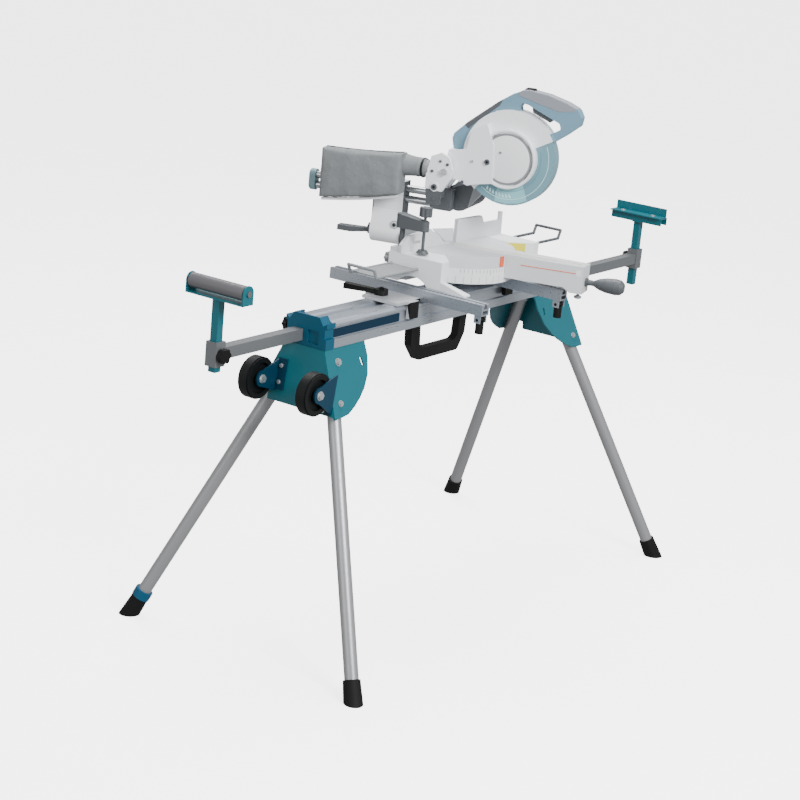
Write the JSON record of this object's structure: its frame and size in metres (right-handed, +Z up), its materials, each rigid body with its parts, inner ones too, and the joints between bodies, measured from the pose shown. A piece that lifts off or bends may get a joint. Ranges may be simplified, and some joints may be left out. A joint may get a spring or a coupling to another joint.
{
  "type": "mitre saw on stand",
  "caption": "Sliding compound mitre saw on a folding splayed-leg stand with extending work supports, carry handle and wheels.",
  "frame": {"origin": "on the floor under the middle of the bounding box", "axes": "+X along the beam towards the stop-plate end, -Y towards the operator, +Z up"},
  "size_m": [1.8754, 0.861, 1.3399],
  "materials": {
    "beam_metal": "satin",
    "cap_plastic": "matt",
    "dark_plastic": "satin",
    "teal_paint": "satin",
    "steel": "satin",
    "rubber": "matt",
    "blue_plastic": "satin",
    "zinc": "satin",
    "tyre": "matt",
    "black_plastic": "matt",
    "tube_metal": "satin",
    "casting": "satin",
    "grey_plastic": "satin",
    "pale_plastic": "satin",
    "orange_plastic": "satin",
    "pole_steel": "polished",
    "teal_plastic": "satin",
    "bag_cloth": "matt",
    "handle_plastic": "satin",
    "guard_plastic": "gloss"
  },
  "bodies": {
    "stand": {"beam": "beam_metal", "end_caps": "cap_plastic", "front_strip": "dark_plastic", "near_leg_bracket": "teal_paint", "far_leg_bracket": "teal_paint", "bracket_bolts": "steel", "wheel_tabs": "zinc", "wheel_axles": "steel", "carry_handle": "black_plastic"},
    "leg_nf": {"leg_nf": "beam_metal", "foot_nf": "rubber"},
    "leg_nb": {"leg_nb": "beam_metal"},
    "leg_ff": {"leg_ff": "beam_metal", "foot_ff": "rubber"},
    "leg_fb": {"leg_fb": "beam_metal", "foot_fb": "rubber"},
    "foot_nb": {"foot_nb": "rubber"},
    "foot_adjuster": {"foot_adjuster": "blue_plastic"},
    "wheel_front": {"wheel_front": "tyre"},
    "wheel_back": {"wheel_back": "tyre"},
    "near_arm": {"near_arm": "tube_metal"},
    "far_arm": {"far_arm": "tube_metal"},
    "near_arm_knob": {"near_arm_knob": "black_plastic"},
    "far_arm_knob": {"far_arm_knob": "black_plastic"},
    "near_post_knob": {"near_post_knob": "black_plastic"},
    "far_post_knob": {"far_post_knob": "black_plastic"},
    "near_post": {"near_post": "teal_paint"},
    "roller": {"roller": "beam_metal"},
    "far_post": {"far_post": "teal_paint", "stop_plate": "teal_paint", "stop_screws": "steel"},
    "saw_carrier": {"bars": "beam_metal", "bar_clamps": "zinc", "saw_base": "casting", "fences": "casting"},
    "near_cam_lever": {"near_cam_lever": "black_plastic"},
    "far_cam_lever": {"far_cam_lever": "black_plastic"},
    "near_bar_lever": {"near_bar_lever": "black_plastic"},
    "far_bar_lever": {"far_bar_lever": "black_plastic"},
    "sub_fence": {"sub_fence": "casting"},
    "left_holder": {"left_holder": "steel"},
    "right_holder": {"right_holder": "steel"},
    "base_knob": {"base_knob": "grey_plastic"},
    "vise_post": {"vise_post": "zinc"},
    "vise_screw": {"vise_screw": "zinc"},
    "turntable": {"turntable": "casting", "kerf_board": "pale_plastic", "pointer": "orange_plastic"},
    "mitre_grip": {"mitre_grip": "grey_plastic"},
    "bevel_arm": {"bevel_arm": "casting"},
    "bevel_lever": {"bevel_lever": "grey_plastic"},
    "slide_carriage": {"poles": "pole_steel", "rear_cap": "teal_plastic", "carriage": "casting", "dust_bag": "bag_cloth"},
    "head": {"blade_case": "casting", "handle": "handle_plastic"},
    "trigger": {"trigger": "black_plastic"},
    "blade": {"blade": "steel"},
    "lower_guard": {"lower_guard": "guard_plastic"}
  },
  "joints": [
    {"name": "mitre_turn", "type": "hinge", "parent": "saw_carrier", "child": "turntable", "pos_m": [0.0275, 0.0111, 0.9], "axis": [0, 0, 1], "range_deg": [-60, 30]},
    {"name": "bevel_tilt", "type": "hinge", "parent": "turntable", "child": "bevel_arm", "pos_m": [-0.00615, 0.13667, 0.921], "axis": [-0.2588, 0.9659, 0], "range_deg": [-36, 5]},
    {"name": "head_slide", "type": "slide", "parent": "bevel_arm", "child": "slide_carriage", "axis": [0.2588, -0.9659, 0], "range_m": [-0.05, 0.16]},
    {"name": "head_chop", "type": "hinge", "parent": "slide_carriage", "child": "head", "pos_m": [0.01818, 0.04587, 1.111], "axis": [0.9659, 0.2588, 0], "range_deg": [0, 52], "stiffness_Nm_per_rad": 8, "springref_deg": -148.97},
    {"name": "lower_guard_lift", "type": "hinge", "parent": "head", "child": "lower_guard", "pos_m": [0.05856, -0.10481, 1.163], "axis": [0.9659, 0.2588, 0], "range_deg": [0, 162]},
    {"name": "trigger_squeeze", "type": "hinge", "parent": "head", "child": "trigger", "pos_m": [0.07046, -0.14924, 1.295], "axis": [0.9659, 0.2588, 0], "range_deg": [-4.5, 0], "stiffness_Nm_per_rad": 0.4, "springref_deg": 17.19},
    {"name": "blade_spin", "type": "hinge", "parent": "head", "child": "blade", "pos_m": [0.05856, -0.10481, 1.163], "axis": [0.9659, 0.2588, 0], "continuous": true},
    {"name": "leg_nf_fold", "type": "hinge", "parent": "stand", "child": "leg_nf", "pos_m": [-0.5815, -0.0609, 0.712], "axis": [0, 0.9205, -0.3907], "range_deg": [-85, 0]},
    {"name": "leg_nb_fold", "type": "hinge", "parent": "stand", "child": "leg_nb", "pos_m": [-0.5815, 0.0431, 0.712], "axis": [0, 0.9205, 0.3907], "range_deg": [-85, 0]},
    {"name": "leg_ff_fold", "type": "hinge", "parent": "stand", "child": "leg_ff", "pos_m": [0.4285, -0.0609, 0.712], "axis": [0, 0.9205, -0.3907], "range_deg": [0, 104]},
    {"name": "leg_fb_fold", "type": "hinge", "parent": "stand", "child": "leg_fb", "pos_m": [0.4285, 0.0431, 0.712], "axis": [0, 0.9205, 0.3907], "range_deg": [0, 104]},
    {"name": "foot_nb_extend", "type": "slide", "parent": "leg_nb", "child": "foot_nb", "axis": [-0.2613, 0.3772, -0.8885], "range_m": [0, 0.02]},
    {"name": "wheel_front_spin", "type": "hinge", "parent": "stand", "child": "wheel_front", "pos_m": [-0.6925, -0.1009, 0.667], "axis": [0, 1, 0], "continuous": true},
    {"name": "wheel_back_spin", "type": "hinge", "parent": "stand", "child": "wheel_back", "pos_m": [-0.6925, 0.0741, 0.667], "axis": [0, 1, 0], "continuous": true},
    {"name": "near_arm_extend", "type": "slide", "parent": "stand", "child": "near_arm", "axis": [-1, 0, 0], "range_m": [-0.25, 0.4]},
    {"name": "far_arm_extend", "type": "slide", "parent": "stand", "child": "far_arm", "axis": [1, 0, 0], "range_m": [-0.25, 0.25]},
    {"name": "near_post_raise", "type": "slide", "parent": "near_arm", "child": "near_post", "axis": [0, 0, 1], "range_m": [-0.095, 0.04]},
    {"name": "far_post_raise", "type": "slide", "parent": "far_arm", "child": "far_post", "axis": [0, 0, 1], "range_m": [-0.078, 0.07]},
    {"name": "roller_spin", "type": "hinge", "parent": "near_post", "child": "roller", "pos_m": [-0.9195, 0.0136, 0.932], "axis": [0, 1, 0], "continuous": true},
    {"name": "saw_carrier_slide", "type": "slide", "parent": "stand", "child": "saw_carrier", "axis": [1, 0, 0], "range_m": [-0.12, 0.1]},
    {"name": "near_cam_lever_swing", "type": "hinge", "parent": "saw_carrier", "child": "near_cam_lever", "pos_m": [-0.2925, 0.0151, 0.83], "axis": [0, 0, 1], "range_deg": [0, 90]},
    {"name": "far_cam_lever_swing", "type": "hinge", "parent": "saw_carrier", "child": "far_cam_lever", "pos_m": [0.1715, 0.0151, 0.83], "axis": [0, 0, -1], "range_deg": [0, 90]},
    {"name": "near_bar_lever_swing", "type": "hinge", "parent": "saw_carrier", "child": "near_bar_lever", "pos_m": [-0.2205, -0.2379, 0.806], "axis": [-1, 0, 0], "range_deg": [0, 60]},
    {"name": "far_bar_lever_swing", "type": "hinge", "parent": "saw_carrier", "child": "far_bar_lever", "pos_m": [0.0995, -0.2679, 0.806], "axis": [-1, 0, 0], "range_deg": [0, 60]},
    {"name": "sub_fence_slide", "type": "slide", "parent": "saw_carrier", "child": "sub_fence", "axis": [-1, 0, 0], "range_m": [0, 0.05]},
    {"name": "left_holder_pull", "type": "slide", "parent": "saw_carrier", "child": "left_holder", "axis": [-1, 0, 0], "range_m": [0, 0.05]},
    {"name": "right_holder_pull", "type": "slide", "parent": "saw_carrier", "child": "right_holder", "axis": [1, 0, 0], "range_m": [0, 0.05]},
    {"name": "vise_swivel", "type": "hinge", "parent": "saw_carrier", "child": "vise_post", "pos_m": [-0.1715, 0.0531, 0.98], "axis": [0, 0, 1], "range_deg": [-35, 35]},
    {"name": "vise_press", "type": "slide", "parent": "vise_post", "child": "vise_screw", "axis": [0, 0, 1], "range_m": [-0.004, 0.035]},
    {"name": "bevel_lever_turn", "type": "hinge", "parent": "bevel_arm", "child": "bevel_lever", "pos_m": [-0.0372, 0.25258, 0.921], "axis": [-0.2588, 0.9659, 0], "range_deg": [-80, 0]},
    {"name": "foot_adjuster_turn", "type": "hinge", "parent": "leg_nb", "child": "foot_adjuster", "pos_m": [-0.77969, 0.32911, 0.03821], "axis": [-0.2613, 0.3772, -0.8885], "continuous": true},
    {"name": "near_arm_knob_turn", "type": "hinge", "parent": "stand", "child": "near_arm_knob", "pos_m": [-0.6045, 0.0571, 0.79], "axis": [0, 1, 0], "continuous": true},
    {"name": "far_arm_knob_turn", "type": "hinge", "parent": "stand", "child": "far_arm_knob", "pos_m": [0.4515, -0.0749, 0.79], "axis": [0, -1, 0], "continuous": true},
    {"name": "near_post_knob_turn", "type": "hinge", "parent": "near_arm", "child": "near_post_knob", "pos_m": [-0.9195, -0.0089, 0.776], "axis": [0, -1, 0], "continuous": true},
    {"name": "far_post_knob_turn", "type": "hinge", "parent": "far_arm", "child": "far_post_knob", "pos_m": [0.9195, -0.0089, 0.776], "axis": [0, 1, 0], "continuous": true},
    {"name": "base_knob_turn", "type": "hinge", "parent": "saw_carrier", "child": "base_knob", "pos_m": [-0.1865, 0.0711, 0.896], "axis": [0, 1, 0], "continuous": true},
    {"name": "mitre_grip_turn", "type": "hinge", "parent": "turntable", "child": "mitre_grip", "pos_m": [0.1186, -0.32891, 0.874], "axis": [0.2588, -0.9659, 0], "continuous": true}
  ],
  "couplings": [
    {"joint": "lower_guard_lift", "follows": "head_chop", "ratio": 3.1}
  ]
}
